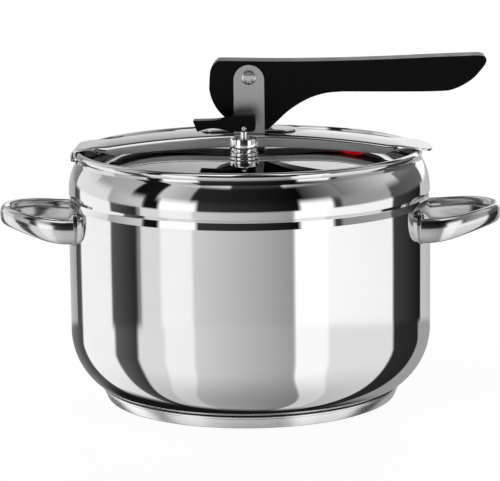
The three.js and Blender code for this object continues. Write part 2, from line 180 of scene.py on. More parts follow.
MIDDLE_WALL = [
    (-180, -171, "#b6b6b6", "#b6b6b6"), (-171, -140, "#a8a8a8", "#6c6c6c"),
    (-140, -97, "#dadada", "#d6d6d6"), (-97, -68, "#a4a4a4", "#c4c4c4"),
    (-68, -56, "#141414", "#101010"), (-56, -31, "#ffffff", "#ffffff"),
    (-31, 34, "#343434", "#0c0c0c"), (34, 56, "#ffffff", "#fdfdfd"), (56, 62, "#3c3c3c", "#3c3c3c"),
    (62, 102, "#888888", "#9c9c9c"), (102, 146, "#4c4c4c", "#606060"),
    (146, 172, "#f4f4f4", "#f8f8f8"), (172, 180, "#d6d6d6", "#d6d6d6"),
]
UPPER_WALL = [
    (-180, -150, "#b0b0b0", "#707070"), (-150, -116, "#c4c4c4", "#c8c8c8"),
    (-116, -79, "#989898", "#a8a8a8"), (-79, -59, "#0e0e0e", "#161616"),
    (-59, -36, "#c4c4c4", "#a0a0a0"), (-36, 37, "#242424", "#080808"),
    (37, 64, "#303030", "#7c7c7c"), (64, 116, "#707070", "#c8c8c8"),
    (116, 150, "#6c6c6c", "#787878"), (150, 180, "#f0f0f0", "#c4c4c4"),
]
CEILING = [
    (-180, -75, "#4a4a4a", "#3c3c3c"), (-75, -60, "#6c6c6c", "#a0a0a0"),
    (-60, -12, "#ffffff", "#ffffff"), (-12, 28, "#484848", "#404040"),
    (28, 60, "#ffffff", "#e0e0e0"), (60, 100, "#707070", "#6c6c6c"),
    (100, 180, "#3c3c3c", "#4a4a4a"),
]
UNDER_POT = "#141414"
TENT_BRIGHTNESS = 1.6  # polished steel gives back about six tenths of it
NEAR_TABLE = -0.56  # how far a ray straight down is moved towards the camera's side
POT_SHADE = (-0.35, -1.75)  # ray heights between which the table dims towards the pot
DARK_LEAN = {"X": -0.2, "Z": -1.29}  # which rays turn back under the pot: weights beside Y's 1
DARK_EDGE = (1.45, 1.56)


# %% Hang the tent
def wall_stops(bands, soft=0.9):
    """Bands as stops of a ramp that runs from -180 to 180 degrees, each edge a little soft."""
    stops = []
    for start, end, first, last in bands:
        stops += [((start + soft + 180) / 360, first), ((end - soft + 180) / 360, last)]
    return stops


def hang_tent(layers, under_pot, brightness):
    """A world in layers. Each takes over from the one below it between two heights of the ray."""
    world = bpy.data.worlds.new("light_tent")
    bpy.context.scene.world = world
    world.use_nodes = True
    tree = world.node_tree
    tree.nodes.clear()
    ray = add_node(tree, "ShaderNodeTexCoord").outputs["Generated"]
    part = add_node(tree, "ShaderNodeSeparateXYZ", inputs={0: ray})
    # The table is near, so a steep ray meets the stripe of it that lies in front of the steel.
    down = add_node(tree, "ShaderNodeMath", {"operation": "MINIMUM"}, {
        0: part.outputs["Z"], 1: 0.0,
    })
    near = add_node(tree, "ShaderNodeMath", {"operation": "POWER"}, {0: down.outputs[0], 1: 4.0})
    away = add_node(tree, "ShaderNodeMath", {"operation": "MULTIPLY_ADD"}, {
        0: near.outputs[0], 1: NEAR_TABLE, 2: part.outputs["Y"],
    })
    away = add_node(tree, "ShaderNodeMath", {"operation": "MULTIPLY"}, {
        0: away.outputs[0], 1: -1.0,
    })
    angle = add_node(tree, "ShaderNodeMath", {"operation": "ARCTAN2"}, {
        0: part.outputs["X"], 1: away.outputs[0],
    })
    compass = add_node(tree, "ShaderNodeMapRange", inputs={
        "Value": angle.outputs[0], "From Min": -math.pi, "From Max": math.pi,
    })

    def take_over(below, above, measure, limits):
        """Goes over from one colour to the other as a measure passes between two limits."""
        share = add_node(tree, "ShaderNodeMapRange", {"interpolation_type": "SMOOTHSTEP"}, {
            "Value": measure, "From Min": limits[0], "From Max": limits[1],
        })
        mix = add_node(tree, "ShaderNodeMix", {"data_type": "RGBA"}, {"Factor": share.outputs[0]})
        for socket, colour in ((mix.inputs[6], below), (mix.inputs[7], above)):
            if isinstance(colour, bpy.types.NodeSocket):
                tree.links.new(colour, socket)
            else:
                socket.default_value = colour
        return mix.outputs[2]

    colour = None
    for bands, heights in layers:
        ramp = add_node(tree, "ShaderNodeValToRGB", inputs={"Fac": compass.outputs[0]})
        set_ramp(ramp, wall_stops(bands))
        above = ramp.outputs["Color"]
        colour = take_over(colour, above, part.outputs["Z"], heights) if colour else above
    # The table dims towards the pot, and a ray that turns back under the pot meets the dark.
    colour = take_over(colour, linear(under_pot), part.outputs["Z"], POT_SHADE)
    steep = add_node(tree, "ShaderNodeMath", {"operation": "MULTIPLY_ADD"}, {
        0: part.outputs["Z"], 1: DARK_LEAN["Z"], 2: part.outputs["Y"],
    })
    leftward = add_node(tree, "ShaderNodeMath", {"operation": "MULTIPLY_ADD"}, {
        0: part.outputs["X"], 1: DARK_LEAN["X"], 2: steep.outputs[0],
    })
    colour = take_over(colour, linear(under_pot), leftward.outputs[0], DARK_EDGE)
    tent = add_node(tree, "ShaderNodeBackground", inputs={"Color": colour, "Strength": brightness})
    paper = add_node(tree, "ShaderNodeBackground", inputs={"Color": linear("#ffffff")})
    seen = add_node(tree, "ShaderNodeLightPath").outputs["Is Camera Ray"]
    mixed = add_node(tree, "ShaderNodeMixShader", inputs={
        0: seen, 1: tent.outputs[0], 2: paper.outputs[0],
    })
    add_node(tree, "ShaderNodeOutputWorld", inputs={"Surface": mixed.outputs[0]})


tent_layers = [
    (TABLE, None), (LOW_WALL, (-0.222, -0.216)), (MIDDLE_WALL, (-0.06, 0.01)),
    (UPPER_WALL, (0.16, 0.38)), (CEILING, (0.66, 0.82)),
]
hang_tent(tent_layers, UNDER_POT, TENT_BRIGHTNESS)
print("tent hung in", len(tent_layers), "layers")


# %% [markdown]
# ## Paper under the pot
# The pot stands on white paper that runs on to the horizon. Most of the paper's light is its own,
# as if it were lit evenly from all sides, so no hard shadow is left on it. The steel doesn't mirror
# it, because the tent already has a table top in it.

# %% Paper
PAPER_SIZE = 6
PAPER_GREY = "#8c8c8a"
PAPER_GLOW = 0.86
bpy.ops.object.select_all(action="DESELECT")
bpy.ops.mesh.primitive_plane_add(size=PAPER_SIZE)
paper = bpy.context.object
paper.name = "paper"
paper.visible_glossy = False
paper_finish = bpy.data.materials.new("matt_paper")
paper_finish.use_nodes = True
shader = paper_finish.node_tree.nodes["Principled BSDF"]
shader.inputs["Base Color"].default_value = linear(PAPER_GREY)
shader.inputs["Roughness"].default_value = 0.9
shader.inputs["Emission Color"].default_value = linear("#ffffff")
shader.inputs["Emission Strength"].default_value = PAPER_GLOW
paper.data.materials.append(paper_finish)
print("paper", PAPER_SIZE, "m wide")


# %% [markdown]
# ## Ways of working metal
# Most of a cooker is one of three things: a blank spun on a lathe, a plate cut to an outline, or a
# tube bent along a line. Each has a short helper here that does it by hand with Blender's own
# operators. Everything is drawn in millimetres where it belongs, so nothing has to be moved later.

# %% Helpers for modelling
SMOOTH_ANGLE = math.radians(32)
WELD = 0.005 * MM


def deselect():
    if bpy.context.mode != "OBJECT":
        bpy.ops.object.mode_set(mode="OBJECT")
    bpy.ops.object.select_all(action="DESELECT")


def pick(piece):
    """Makes a piece the only one selected, and active."""
    deselect()
    piece.select_set(True)
    bpy.context.view_layer.objects.active = piece


def modify(piece, kind, **settings):
    """Adds a modifier to a piece and applies it."""
    pick(piece)
    bpy.ops.object.modifier_add(type=kind)
    modifier = piece.modifiers[-1]
    for key, value in settings.items():
        setattr(modifier, key, value)
    bpy.ops.object.modifier_apply(modifier=modifier.name)


def close_up():
    """In edit mode: welds doubled points and turns every face outwards."""
    bpy.ops.mesh.select_all(action="SELECT")
    bpy.ops.mesh.remove_doubles(threshold=WELD)
    bpy.ops.mesh.normals_make_consistent(inside=False)
    bpy.ops.object.mode_set(mode="OBJECT")


def cut_away(piece, cutter, operation="DIFFERENCE"):
    """Cuts one shape from a piece, or keeps only what they share, and deletes the cutter."""
    modify(piece, "BOOLEAN", object=cutter, operation=operation, solver="EXACT")
    pick(cutter)
    bpy.ops.object.delete()


def smooth(piece):
    pick(piece)
    bpy.ops.object.shade_smooth_by_angle(angle=SMOOTH_ANGLE)


def hand_over(piece, finish, body, slot, *nodes):
    """Gives a piece its finish, says which body carries it and hides the frame's nodes that it
    replaces. `slot` is not used.
    """
    piece.data.materials.append(finish)
    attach(piece, body)
    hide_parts(*nodes)
    size = [round(side / MM, 1) for side in piece.dimensions]
    print(piece.name, "rides on", body, size, "mm,", len(piece.data.polygons), "faces")


# %% [markdown]
# ### Soft corners
# No pressed or cast corner is a point. A designer draws the sharp outline first and then gives each
# corner its radius, and so does this function: a corner is (a, b, radius).

# %% Outlines with soft corners
def soft_corners(corners, steps=5):
    """The outline's points. A radius of 0 leaves a corner sharp."""
    outline = []
    for i, (a, b, radius) in enumerate(corners):
        here = Vector((a, b))
        if radius == 0:
            outline.append((a, b))
            continue
        to_last = (Vector(corners[i - 1][:2]) - here).normalized()
        to_next = (Vector(corners[(i + 1) % len(corners)][:2]) - here).normalized()
        half = to_last.angle(to_next) / 2
        centre = here + (to_last + to_next).normalized() * radius / math.sin(half)
        reach = radius / math.tan(half)
        start, end = here + to_last * reach - centre, here + to_next * reach - centre
        sweep = start.angle_signed(end)
        for step in range(steps + 1):
            turn = math.atan2(start.y, start.x) - sweep * step / steps
            outline.append((centre.x + radius * math.cos(turn), centre.y + radius * math.sin(turn)))
    return outline


def arc(a, b, radius, first, last, steps):
    """Points of an arc about (a, b), from one angle to another in degrees."""
    turns = [math.radians(first + (last - first) * i / steps) for i in range(steps + 1)]
    return [(a + radius * math.cos(turn), b + radius * math.sin(turn)) for turn in turns]


# %% [markdown]
# ### Spinning on a lathe
# The section is drawn point by point, as a line that is extruded from a single vertex, and then
# spun once round. A round pot shows every flat in its reflections, so it is spun in many steps.
# A pin or rivet is spun upright, from half a section and its mirror image, and then laid across.

# %% Spun pieces
def spun(name, section, steps=160, at=(0, 0)):
    """A section of (radius, height) points, spun round an upright axis through `at`."""
    line = [Vector((at[0] + radius, at[1], height)) * MM for radius, height in section]
    deselect()
    bpy.ops.mesh.primitive_plane_add(size=MM, location=line[0])
    piece = bpy.context.object
    piece.name = name
    bpy.ops.object.transform_apply(location=True, rotation=False, scale=False)
    bpy.ops.object.mode_set(mode="EDIT")
    bpy.ops.mesh.merge(type="CENTER")
    for start, end in zip(line, line[1:]):
        bpy.ops.mesh.extrude_region_move(TRANSFORM_OT_translate={"value": end - start})
    bpy.ops.mesh.select_all(action="SELECT")
    centre = (at[0] * MM, at[1] * MM, 0)
    bpy.ops.mesh.spin(steps=steps, angle=FULL_TURN, center=centre, axis=(0, 0, 1))
    close_up()
    smooth(piece)
    return piece


def both_ends(half):
    """The upper half of a section, with its mirror image below."""
    return half + [(radius, -height) for radius, height in reversed(half)]


def lay_across(piece, place):
    """Turns a piece that was spun upright to lie along Y, and moves it to its place."""
    pick(piece)
    bpy.ops.object.mode_set(mode="EDIT")
    bpy.ops.mesh.select_all(action="SELECT")
    bpy.ops.transform.rotate(value=math.pi / 2, orient_axis="X", center_override=(0, 0, 0))
    bpy.ops.transform.translate(value=place * MM)
    bpy.ops.object.mode_set(mode="OBJECT")


# %% [markdown]
# ### Cutting a plate
# A filled circle with as many points as the outline is dragged to the outline's shape and extruded
# to the plate's thickness. A bevel then breaks its edges as tumbling or moulding does.

# %% Cut plates
AXES = {"X": Vector((1, 0, 0)), "Y": Vector((0, 1, 0)), "Z": Vector((0, 0, 1))}


def cut_plate(name, outline, axis, low, high):
    """A plate with its outline across one axis, from `low` to `high` along that axis."""
    deselect()
    bpy.ops.mesh.primitive_circle_add(vertices=len(outline), fill_type="NGON")
    piece = bpy.context.object
    piece.name = name
    for vertex, (a, b) in zip(piece.data.vertices, outline):
        place = {"X": (low, a, b), "Y": (a, low, b), "Z": (a, b, low)}[axis]
        vertex.co = Vector(place) * MM
    bpy.ops.object.mode_set(mode="EDIT")
    bpy.ops.mesh.select_all(action="SELECT")
    thickness = AXES[axis] * (high - low) * MM
    bpy.ops.mesh.extrude_region_move(TRANSFORM_OT_translate={"value": thickness})
    close_up()
    return piece


def break_edges(piece, width, segments=3):
    """Rounds a plate's edges, and keeps its flat faces flat to the eye."""
    modify(piece, "BEVEL", width=width * MM, segments=segments, limit_method="ANGLE",
           angle_limit=math.radians(40))
    smooth(piece)
    modify(piece, "WEIGHTED_NORMAL", keep_sharp=True)


def round_bar(radius, axis, low, high, at, points=32):
    """A round bar along an axis: a cutter for bores and notches."""
    outline = arc(at[0], at[1], radius, 0, 360 - 360 / points, points - 1)
    return cut_plate("cutter", outline, axis, low, high)


# %% [markdown]
# ## Finishes
# Everything on a cooker is one of a few real finishes. Each material below starts from what was
# done to the surface: buffed to a mirror, brushed on a belt, tumbled, turned, plated or moulded.

# %% What every finish has
def new_finish(name):
    """A new material, its network and the place on the piece."""
    material = bpy.data.materials.new(name)
    material.use_nodes = True
    tree = material.node_tree
    return material, tree, add_node(tree, "ShaderNodeTexCoord").outputs["Object"]


def work_surface(tree, shade, stops, gloss, relief, depth, height):
    """Colour and roughness that vary with `shade`, and a bump of `height` mm after `relief`."""
    colour = add_node(tree, "ShaderNodeValToRGB", inputs={"Fac": shade})
    set_ramp(colour, stops)
    roughness = add_node(tree, "ShaderNodeMapRange", inputs={
        "Value": shade, "From Min": 0.3, "From Max": 0.7, "To Min": gloss[0], "To Max": gloss[1],
    })
    bump = add_node(tree, "ShaderNodeBump", inputs={
        "Height": relief, "Strength": depth, "Distance": height * MM,
    })
    shader = tree.nodes["Principled BSDF"]
    tree.links.new(colour.outputs["Color"], shader.inputs["Base Color"])
    tree.links.new(roughness.outputs[0], shader.inputs["Roughness"])
    tree.links.new(bump.outputs["Normal"], shader.inputs["Normal"])


# %% Metal finishes
def metal(name, colours, gloss, grain, depth, patch=45):
    """A worked metal. `grain` is the size of its marks along X, Y and Z in millimetres, `gloss` the
    range of its roughness, `depth` the bump of the marks and `patch` the size of its cloudiness."""
    material, tree, place = new_finish(name)
    tree.nodes["Principled BSDF"].inputs["Metallic"].default_value = 1.0
    marks_at = add_node(tree, "ShaderNodeMapping", inputs={
        "Vector": place, "Scale": [1 / (size * MM) for size in grain],
    })
    marks = add_node(tree, "ShaderNodeTexNoise", inputs={
        "Vector": marks_at.outputs[0], "Scale": 1.0, "Detail": 2.0, "Roughness": 0.6,
    })
    clouds = add_node(tree, "ShaderNodeTexNoise", inputs={
        "Vector": place, "Scale": 1 / (patch * MM), "Detail": 3.0,
    })
    both = add_node(tree, "ShaderNodeMix", {"data_type": "FLOAT"}, {
        "Factor": 0.5, "A": marks.outputs["Fac"], "B": clouds.outputs["Fac"],
    })
    stops = [(0.35, colours[0]), (0.65, colours[1])]
    work_surface(tree, both.outputs[0], stops, gloss, marks.outputs["Fac"], depth, 0.02)
    return material


# Stainless sheet buffed to a mirror: sharp reflections, and faint marks that run round the pot.
mirror_steel = metal(
    "mirror_polished_stainless", ("#cececf", "#d1d1d1"), (0.02, 0.03), (70, 70, 0.8), 0.0004,
)
# The same sheet after pressing: the buffing runs along the bar, and the mirror is a little milky.
pressed_steel = metal(
    "pressed_stainless_strip", ("#c2c2c3", "#cecece"), (0.06, 0.11), (40, 0.8, 40), 0.015,
)
# The bar's flanges have only been tumbled: a bright, even satin.
satin_flange = metal(
    "tumbled_stainless_flange", ("#f0f0f0", "#fafafa"), (0.42, 0.5), (12, 0.8, 1.2), 0.05,
)
# Bent tube, buffed by hand on a soft wheel: its reflections are a little blurred.
tube_steel = metal(
    "buffed_stainless_tube", ("#c0c0c1", "#d0d0d0"), (0.10, 0.18), (30, 8, 2), 0.02, 20,
)
# Thick strip brushed on a belt: upright hairlines, drawn coarse enough to show, blur the light.
brushed_steel = metal(
    "belt_brushed_stainless", ("#c8c8c9", "#d8d8d8"), (0.30, 0.38), (0.35, 0.35, 14), 0.15, 30,
)
# The capsule's cap is turned after pressing: fine rings all round, and a satin band of light.
turned_steel = metal(
    "turned_satin_stainless", ("#e4e4e4", "#f2f2f2"), (0.20, 0.30), (25, 25, 0.35), 0.2, 25,
)
# Brass, turned and chromium plated: brighter and harder than steel.
bright_chrome = metal(
    "bright_chrome_plate", ("#f0f0f2", "#fafafb"), (0.08, 0.14), (6, 6, 0.4), 0.03, 8,
)
# Aluminium pressed between cap and pot: dull, with fine pores.
dull_aluminium = metal(
    "pressed_aluminium_core", ("#a4a6a8", "#bcbec0"), (0.42, 0.55), (0.8, 0.8, 0.8), 0.6, 10,
)


# %% Moulded finishes
def moulded(name, colours, gloss, texture, depth, patch=9, sheen=0.5, glow=0.0):
    """A moulded plastic or rubber. `texture` is the size of the mould's marks in millimetres and
    `patch` that of its slight clouds, `sheen` says how strongly its skin reflects, and `glow` gives
    it a little light of its own."""
    material, tree, place = new_finish(name)
    shader = tree.nodes["Principled BSDF"]
    shader.inputs["Specular IOR Level"].default_value = sheen
    shader.inputs["Emission Color"].default_value = linear(colours[0])
    shader.inputs["Emission Strength"].default_value = glow
    skin = add_node(tree, "ShaderNodeTexNoise", inputs={
        "Vector": place, "Scale": 1 / (texture * MM), "Detail": 3.0,
    })
    clouds = add_node(tree, "ShaderNodeTexNoise", inputs={
        "Vector": place, "Scale": 1 / (patch * MM), "Detail": 2.0,
    })
    stops = [(0.35, colours[0]), (0.68, colours[1])]
    work_surface(tree, clouds.outputs["Fac"], stops, gloss, skin.outputs["Fac"], depth, 0.03)
    return material


# Phenolic resin pressed in a steel mould: almost black, with the satin skin of the mould.
black_phenolic = moulded(
    "compression_moulded_phenolic", ("#040404", "#080808"), (0.26, 0.36), 0.5, 0.3, sheen=0.12,
)
# Silicone, moulded and then dusted: matt and grey.
grey_silicone = moulded("moulded_grey_silicone", ("#58595a", "#6c6d6e"), (0.55, 0.68), 0.4, 0.4)
# Silicone pigmented right through, with the gloss of a polished mould. The glow isn't physical: it
# keeps the warning colour clear in the shade of the bridge.
red_silicone = moulded(
    "moulded_red_silicone", ("#d0101a", "#f21c26"), (0.22, 0.34), 0.6, 0.25, glow=0.55,
)
print("finishes:", len(bpy.data.materials))


# %% [markdown]
# ## The pot
# The pot is deep-drawn from one blank: a flat bottom, a wide rounded corner, a nearly straight
# wall, a bead, a collar that draws in along one long arc and a rim rolled to a half round. The
# section goes up the outside, over the rim and down the inside, about one sheet thickness away.

# %% The pot
BELLY_R = 118.2
SHEET = 1.2
CORNER_R = 44
CORNER_AT = (BELLY_R - CORNER_R, 46)
FLOOR_R = 60
COLLAR_R = 36
COLLAR_AT = (81.67, 138.24)
NECK = (112.2, 157.6)
RIM_R = 2.6
RIM_AT = (110.3, RIM_Z - RIM_R)
BOTTOM_Z = pot_low.z
corner_start = -math.degrees(math.asin((CORNER_AT[1] - BOTTOM_Z) / CORNER_R))
outside = (
    [(0, BOTTOM_Z), (FLOOR_R, BOTTOM_Z)]
    + arc(*CORNER_AT, CORNER_R, corner_start, 0, 20)
    + soft_corners([
        (BELLY_R, 60, 0), (BELLY_R, 97, 1500), (117.7, 129.7, 1.2),  # wall
        (116.95, 134.3, 0.7), (117.75, 136.3, 0.8), (117.65, 139.5, 0),  # groove and bead
    ])
    + arc(*COLLAR_AT, COLLAR_R, 3, 31, 20)
    + [NECK]
    + arc(*RIM_AT, RIM_R, -50, 105, 18)
    + soft_corners([(109.1, 162.6, 0), (109.1, 161.2, 1.2), (109.3, 158.9, 1.2), (111, 156.2, 0)])
)
inside = (
    soft_corners([
        (111, 156.2, 0), (115.2, 145.5, 8), (116.4, 141, 2), (116.5, 136.4, 0.8),
        (115.7, 134.4, 0.8), (116.5, 129.9, 1.5), (BELLY_R - SHEET, 97, 1500),
        (BELLY_R - SHEET, 60, 0),
    ], 4)[1:]
    + arc(*CORNER_AT, CORNER_R - SHEET, 0, corner_start, 12)
    + [(FLOOR_R, BOTTOM_Z + SHEET), (0, BOTTOM_Z + SHEET)]
)
pot = spun("pot_shell", outside + inside, steps=192)
hand_over(pot, mirror_steel, "pot", "polished_steel", "pot_body")

# %% [markdown]
# ## The capsule base
# A thick aluminium disc spreads the heat. It is held against the pot by a pressed cap, which leaves
# a dark joint under the corner and a fine bright lip above the satin band. The underside is turned
# a little hollow, so that the pot stands on its outer ring.

# %% The capsule's cap
cap = spun("capsule_cap", soft_corners([
    (0, 0.35, 0), (62, 0.35, 0.5), (63, 0, 0.5), (93.4, 0, 0), (94.9, 0.2, 1.2), (97.9, 6.6, 0.2),
    (97.7, 6.9, 0.1), (98.25, 7.2, 0.15), (98.6, 8.1, 0.3), (97.5, 8.2, 0), (93.9, 1.3, 0),
    (93.2, 0.9, 0), (0, 0.9, 0),
], 3), steps=160)
hand_over(cap, turned_steel, "pot", "satin_steel", "base_cap")

# %% [markdown]
# ## The side handles
# Each handle is a tube pressed oval, bent into a loop and welded to the wall by both ends. It rises
# towards its end, where the oval is less tall. The oval is extruded step by step along half of the
# loop, turned and pressed a little at each step, and the other half is its mirror image.

# %% One handle
right_high = corners("handle_right")[1]
LIMB_Y = 41
ROOT_X, LIMB_STRAIGHT_X = 108, 116
ROOT_SHARE = 0.12
ROOT_Z, END_Z = 115.3, 121.4
TUBE = (2.75, 7.75)  # half the tube's thickness and height
END_SQUEEZE = 12 / 15.5
LOOP_END_X = right_high.x - TUBE[0]
TUBE_POINTS = 28


def loop_point(t):
    """The loop's centre line: a straight root, then a quarter of the bend, for t from 0 to 1."""
    if t < ROOT_SHARE:
        return Vector((ROOT_X + (LIMB_STRAIGHT_X - ROOT_X) * t / ROOT_SHARE, -LIMB_Y))
    t = (t - ROOT_SHARE) / (1 - ROOT_SHARE)
    ends = [Vector(p) for p in (
        (LIMB_STRAIGHT_X, -LIMB_Y), (136, -LIMB_Y), (LOOP_END_X, -21), (LOOP_END_X, 0),
    )]
    shares = ((1 - t) ** 3, 3 * t * (1 - t) ** 2, 3 * t * t * (1 - t), t ** 3)
    return sum((share * end for share, end in zip(shares, ends)), Vector((0, 0)))


def ease(share):
    """From 0 to 1, with a soft start and a soft end."""
    share = min(max(share, 0), 1)
    return share * share * (3 - 2 * share)


def station(i, count):
    """Where the tube is at a step of its way, which way it heads and how tall it is there."""
    here = loop_point(i / count)
    ahead = loop_point(min(i + 0.01, count) / count) - loop_point(max(i - 0.01, 0) / count)
    lift = ease((here.x - LIMB_STRAIGHT_X) / (LOOP_END_X - LIMB_STRAIGHT_X))
    centre = Vector((here.x, here.y, ROOT_Z + (END_Z - ROOT_Z) * lift)) * MM
    return centre, math.atan2(ahead.y, ahead.x), 1 + (END_SQUEEZE - 1) * lift


STATIONS = 36
stations = [station(i, STATIONS) for i in range(STATIONS + 1)]
stations[-1] = (stations[-1][0], math.pi / 2, stations[-1][2])
deselect()
bpy.ops.mesh.primitive_circle_add(vertices=TUBE_POINTS, fill_type="NGON")
handle = bpy.context.object
handle.name = "loop_handle_right"
first = stations[0][0]
for i, vertex in enumerate(handle.data.vertices):
    turn = FULL_TURN * i / TUBE_POINTS
    across, high = TUBE[0] * math.cos(turn), TUBE[1] * math.sin(turn)
    vertex.co = first + Vector((0, across, high)) * MM
bpy.ops.object.mode_set(mode="EDIT")
bpy.ops.mesh.select_all(action="SELECT")
for (last_at, last_turn, last_height), (at, turn, height) in zip(stations, stations[1:]):
    bpy.ops.mesh.extrude_region_move(TRANSFORM_OT_translate={"value": at - last_at})
    # Without a window the operator turns clockwise, hence the minus sign.
    bpy.ops.transform.rotate(value=last_turn - turn, orient_axis="Z", center_override=at)
    bpy.ops.transform.resize(value=(1, 1, height / last_height), center_override=at)
bpy.ops.mesh.delete(type="ONLY_FACE")
bpy.ops.object.mode_set(mode="OBJECT")
modify(handle, "MIRROR", use_axis=(False, True, False), merge_threshold=0.05 * MM)
bpy.ops.object.mode_set(mode="EDIT")
close_up()
print("handle:", [round(v / MM, 1) for v in handle.dimensions], "mm before its ends are cut")

# %% [markdown]
# The ends are cut to the round wall, as a tube notcher does, and the finished handle is copied for
# the other side.

# %% Cut the ends, copy the handle
deselect()
bpy.ops.mesh.primitive_cylinder_add(
    vertices=240, radius=(BELLY_R - SHEET / 2) * MM, depth=60 * MM, location=(0, 0, ROOT_Z * MM),
)
cut_away(handle, bpy.context.object)
smooth(handle)


def turned_copy(piece, name):
    """A copy with its own mesh, turned half round the pot."""
    pick(piece)
    bpy.ops.object.duplicate()
    copy = bpy.context.object
    copy.name = name
    bpy.ops.transform.rotate(value=math.pi, orient_axis="Z", center_override=(0, 0, 0))
    bpy.ops.object.transform_apply(location=True, rotation=True, scale=True)
    return copy


left_handle = turned_copy(handle, "loop_handle_left")
hand_over(handle, tube_steel, "pot", "polished_steel", "handle_right")
hand_over(left_handle, tube_steel, "pot", "polished_steel", "handle_left")

# %% [markdown]
# ## The weld pads
# Where a limb meets the wall, a leaf-shaped pad spreads its pull. The pad is stamped: its middle is
# pressed in a little, inside a raised edge.

# %% Four pads
PAD_Z = 117.2
PAD_HALF_HEIGHT = 10.4
PAD_HALF_WIDTH = 4.2
PAD_FACES = (BELLY_R - 0.4, BELLY_R + 1.0)
pad_swing = math.asin(LIMB_Y / (BELLY_R + 0.3))


def leaf(half_width, half_height, middle, steps=12):
    """A leaf outline: two shallow arcs that meet in a point above and below."""
    rows = [math.pi * i / steps for i in range(steps)]
    right_side = [(half_width * math.sin(t), middle - half_height * math.cos(t)) for t in rows]
    left_side = [(-half_width * math.sin(t), middle + half_height * math.cos(t)) for t in rows]
    return right_side + left_side


def weld_pad(name, swing):
    pad = cut_plate(name, leaf(PAD_HALF_WIDTH, PAD_HALF_HEIGHT, PAD_Z), "X", *PAD_FACES)
    outer = [face.index for face in pad.data.polygons if face.normal.x > 0.9]
    pick(pad)
    bpy.ops.object.mode_set(mode="EDIT")
    bpy.ops.mesh.select_mode(type="FACE")
    bpy.ops.mesh.select_all(action="DESELECT")
    bpy.ops.object.mode_set(mode="OBJECT")
    for index in outer:
        pad.data.polygons[index].select = True
    bpy.ops.object.mode_set(mode="EDIT")
    bpy.ops.mesh.inset(thickness=1.1 * MM, depth=0)
    bpy.ops.mesh.inset(thickness=0.5 * MM, depth=-0.6 * MM)
    bpy.ops.mesh.select_all(action="SELECT")
    bpy.ops.transform.rotate(value=-swing, orient_axis="Z", center_override=(0, 0, 0))
    bpy.ops.mesh.select_mode(type="VERT")
    bpy.ops.object.mode_set(mode="OBJECT")
    break_edges(pad, 0.35, 2)
    return pad


for side, half_turn in (("right", 0), ("left", math.pi)):
    for place, swing in (("front", -pad_swing), ("back", pad_swing)):
        mirrored = swing if side == "right" else -swing
        pad = weld_pad(f"weld_leaf_{side}_{place}", mirrored + half_turn)
        hand_over(pad, tube_steel, "pot", "satin_steel", f"handle_pad_{side}_{place}")

# %% [markdown]
# ## The sprung bridge
# The bridge is one steel strip pressed in a die: arched along its length, a little crowned across,
# with its long edges turned down as flanges that make it stiff. The crown draws the reflections on
# its top out into long lines. The flanges run out towards the ends. The left end hooks over the rim
# and the right end is a rounded tongue. A flat grid stands for the blank and is laid along the
# arch; it then gets its thickness, and two slots for the bracket are punched through.

# %% The bridge's lines
ARCH = 1174
BAR_HALF_WIDTH = 20
BAR_SHEET = 1.4
END_ROUNDING = 13
PRESS_R = 3.2
CROWN_R = 115
FLANGE_DEPTH = 9.1
FLANGE_ARCH = 1505
RUN_OUT_FROM, RUN_OUT_LENGTH = 86, 19
HOOK_X = 109
HOOK_BEND_R = 5


def arch_z(x):
    return bar_high.z - x * x / ARCH


def strip_line():
    """The strip's top line from the hook's lower edge to the tongue's tip: (x, z) points."""
    slope = math.atan(2 * HOOK_X / ARCH)
    turns = [math.pi / 2 + (slope - math.pi / 2) * i / 10 for i in range(11)]
    bend = [(-math.sin(t) * HOOK_BEND_R, math.cos(t) * HOOK_BEND_R) for t in turns]
    shift_x = bar_low.x + HOOK_BEND_R
    last_x = bend[-1][0] + shift_x
    shift_z = arch_z(last_x) - bend[-1][1]
    hook = [(x + shift_x, z + shift_z) for x, z in bend]
    drop = [(bar_low.x, bar_low.z + (hook[0][1] - bar_low.z) * i / 5) for i in range(5)]
    xs = [last_x + (bar_high.x - last_x) * i / 110 for i in range(1, 111)]
    return drop + hook + [(x, arch_z(x)) for x in xs]


def flange_depth(x):
    """The flange's lower edge is a flatter arch, and runs out towards the strip's ends."""
    depth = FLANGE_DEPTH - x * x * (1 / ARCH - 1 / FLANGE_ARCH)
    return depth * (1 - ease((abs(x) - RUN_OUT_FROM) / RUN_OUT_LENGTH))


def cross_section(half_width, depth):
    """Half of the strip across: (across, down) points from the middle to the flange's edge."""
    lean = math.acos(max(1 - depth / PRESS_R, 0))
    crown = min(depth / 6, 1) / (2 * CROWN_R)
    flat = half_width - PRESS_R * math.sin(lean)
    points = [(flat * i / 5, 0) for i in range(6)]
    for i in range(1, 7):
        t = lean * i / 6
        points.append((flat + PRESS_R * math.sin(t), PRESS_R * (1 - math.cos(t))))
    rest = max(depth - PRESS_R - crown * half_width ** 2, 0)
    edge, bend_end = points[-1]
    points += [(edge, bend_end + rest * i / 3) for i in range(1, 4)]
    return [(across, deep + crown * across ** 2) for across, deep in points]


line = strip_line()
lengths = [0]
for (x0, z0), (x1, z1) in zip(line, line[1:]):
    lengths.append(lengths[-1] + math.hypot(x1 - x0, z1 - z0))
HALF_POINTS = len(cross_section(BAR_HALF_WIDTH, FLANGE_DEPTH)) - 1
print("strip", round(lengths[-1], 1), "mm long,", len(line), "stations")

